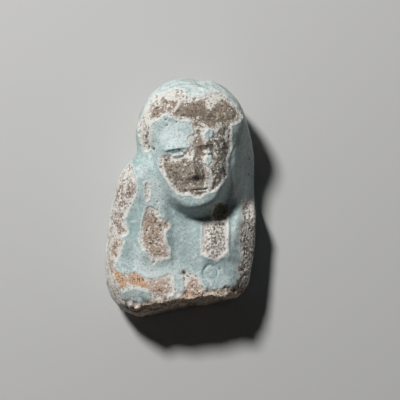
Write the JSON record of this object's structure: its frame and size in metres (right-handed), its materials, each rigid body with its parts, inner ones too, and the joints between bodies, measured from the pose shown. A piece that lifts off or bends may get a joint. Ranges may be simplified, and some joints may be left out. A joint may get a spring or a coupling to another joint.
{
  "type": "ushabti figurine fragment",
  "caption": "Head and chest of a small mould-pressed, glazed ushabti, broken off across the forearms and lying on its flat back.",
  "frame": {"origin": "middle of the footprint, on the surface that the flat back lies on", "axes": "+X across the figure to the viewer's right, +Y from the break up to the crown, +Z from the flat back up to the face"},
  "size_m": [0.0286, 0.0456, 0.0185],
  "materials": {
    "faience": "worn matte pale blue-green glaze over a white and brown quartz body"
  },
  "bodies": {
    "root": {"ushabti_fragment": "faience"}
  },
  "joints": []
}
